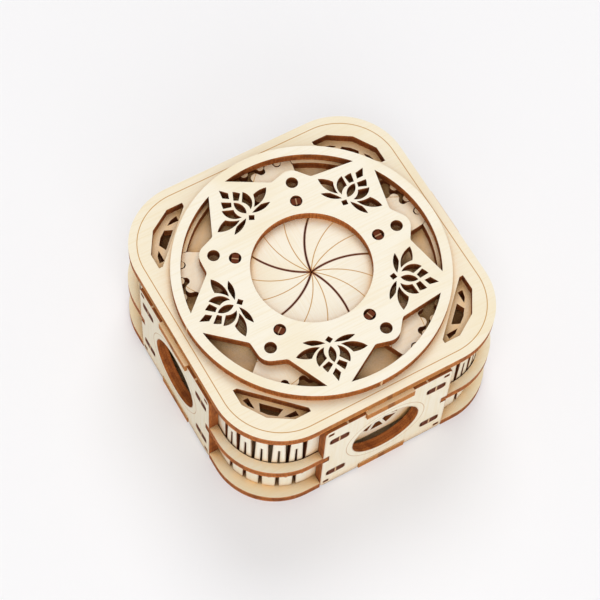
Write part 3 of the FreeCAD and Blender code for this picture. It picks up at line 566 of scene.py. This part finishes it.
# %% Materials of the blades and pegs
BLADE_COUNT = 5
PEG_STEP = math.radians(360 / BLADE_COUNT)
PEG_PLY = 0.17                       # half the width of the pale ply that shows on a peg
blade_lines = [(fan(FAN_STEP, half_width=0.15, strength=0.85), ENGRAVED),
               # A dark line along each blade's edge: burnt outline, and painted shade of the gap
               (fan(3 * FAN_STEP, half_width=0.37, strength=0.9), SCORCH_AND_SHADE)]


def across_peg(tree, position, angle):
    """How far a point lies from the middle of a peg, across the sheet that the peg was cut from."""
    return vectors(tree, "DOT_PRODUCT", position, (-math.sin(angle), math.cos(angle), 0))


def peg_measure(angle):
    """A peg has no face, only edges, and its depth is counted across it."""
    def measure(tree, position, normal):
        return 0.0, depth_from(tree, across_peg(tree, position, angle), -PLY / 2)
    return measure


def middle_ply(angle):
    return lambda tree, position: line(tree, across_peg(tree, position, angle), PEG_PLY, 0.5)


for number in range(1, BLADE_COUNT + 1):
    blade = f"iris_blade_{number}"
    dress(blade, birch("birch_" + blade, flat_measure(blade, Z), X if number % 2 else Y, blade_lines,
                       shift=(47 * number, 12, 5), haze=0.75))
    peg = f"pivot_peg_{number}"
    angle = PEG_STEP * (number - 1)
    dress(peg, birch("birch_" + peg, peg_measure(angle), Z, stubs=[(middle_ply(angle), STUB)],
                     shift=(3 * number, 9, 70), burn=0.95))
print("blades and pegs dressed:", 2 * BLADE_COUNT)

# %% [markdown]
# ## A table
# The box stands on a white sheet that has no edge in view. The sheet is a real surface, so it takes
# the box's shadow. A sheet that is lit until it is white would light the box too much, so far from
# the box it hands over to a plain white glow that only the camera sees.

# %% The floor
FLOOR_HALF = 3
SHEET = colour(246, 245, 246)
WHITE = colour(252, 251, 252)
BLACK = (0, 0, 0, 1)
GLOW_FROM, GLOW_FULL = 0.13, 0.5     # metres from the middle of the box
GLOW_NEAR = 0.2                      # the glow's share of the white under the box


def floor_material():
    material = bpy.data.materials.new("white_sheet")
    material.use_nodes = True
    tree = material.node_tree
    place = add(tree, "NewGeometry").outputs["Position"]
    far = ramp(tree, vectors(tree, "LENGTH", place), GLOW_FROM, GLOW_FULL, 1 - GLOW_NEAR)
    seen = add(tree, "LightPath").outputs["Is Camera Ray"]
    glow = sums(tree, "MULTIPLY", seen, sums(tree, "ADD", far, GLOW_NEAR))
    join(tree, tree.nodes["Principled BSDF"],
         {"Roughness": 0.9, "Specular IOR Level": 0.0, "Emission Color": WHITE,
          "Emission Strength": glow, "Base Color": mix(tree, glow, SHEET, BLACK)})
    return material


def floor():
    mesh = bpy.data.meshes.new("floor")
    shape = bmesh.new()
    bmesh.ops.create_grid(shape, x_segments=1, y_segments=1, size=FLOOR_HALF)
    shape.to_mesh(mesh)
    shape.free()
    sheet = bpy.data.objects.new("floor", mesh)
    bpy.context.scene.collection.objects.link(sheet)
    sheet.data.materials.append(floor_material())


floor()
print("floor:", 2 * FLOOR_HALF, "m square")

# %% [markdown]
# ## Soft light
# The world gives an even light from all sides, and the camera sees it as plain white. By itself it
# would leave the box flat, so three lamps shape it: a broad one behind the box gives the soft shadow
# in front of it, one above the camera reaches into the openings, and a low one in front brightens
# the panels. They are large discs, because the larger a lamp is, the softer its shadow.

# %% The lights
LAMPS = (                            # name, place and diameter in metres, power in watts
    ("key", (0.5, 0.78, 1.25), 0.9, 9.1),
    ("top", (-0.38, -0.57, 1.34), 0.8, 7.3),
    ("fill", (-0.5, -1.2, 0.6), 1.2, 5.5),
)
EVEN_LIGHT = 0.38


def lamp(name, place, size, power):
    light = bpy.data.lights.new(name, "AREA")
    light.shape = "DISK"
    light.size = size
    light.energy = power
    lit = bpy.data.objects.new(name, light)
    lit.location = place
    lit.rotation_euler = (-Vector(place)).to_track_quat("-Z", "Y").to_euler()
    bpy.context.scene.collection.objects.link(lit)


def studio():
    world = bpy.data.worlds.new("studio")
    world.use_nodes = True
    tree = world.node_tree
    seen = add(tree, "LightPath").outputs["Is Camera Ray"]
    strength = sums(tree, "MULTIPLY_ADD", seen, 1 - EVEN_LIGHT, EVEN_LIGHT)
    join(tree, tree.nodes["Background"], {"Color": (1, 1, 1, 1), "Strength": strength})
    return world


for each in LAMPS:
    lamp(*each)
bpy.context.scene.world = studio()
bpy.context.scene.view_settings.view_transform = "Standard"
print("lamps:", [each[0] for each in LAMPS])

# %% [markdown]
# ## The camera
# It looks down at the box from the front left, with a long lens, so that the far edge is only a
# little smaller than the near one. A constraint could aim it, but it is also rolled a little, so its
# turn is written out: the three directions that its right side, its top and its back point to.

# %% The camera
LENS, FILM = 120.47, 36              # millimetres
CAMERA_PLACE = Vector((-0.1516, -0.2199, 0.5458))
RIGHT = (0.8677, -0.4957, 0.0383)
UP = (0.4268, 0.7822, 0.4540)
BACK = (-0.2550, -0.3775, 0.8902)
camera_data = bpy.data.cameras.new("camera")
camera_data.lens = LENS
camera_data.sensor_width = FILM
camera = bpy.data.objects.new("camera", camera_data)
turn = Matrix((RIGHT, UP, BACK)).transposed().to_4x4()
camera.matrix_world = Matrix.Translation(CAMERA_PLACE) @ turn
bpy.context.scene.collection.objects.link(camera)
bpy.context.scene.camera = camera
print("camera distance:", round(CAMERA_PLACE.length, 3), "m")
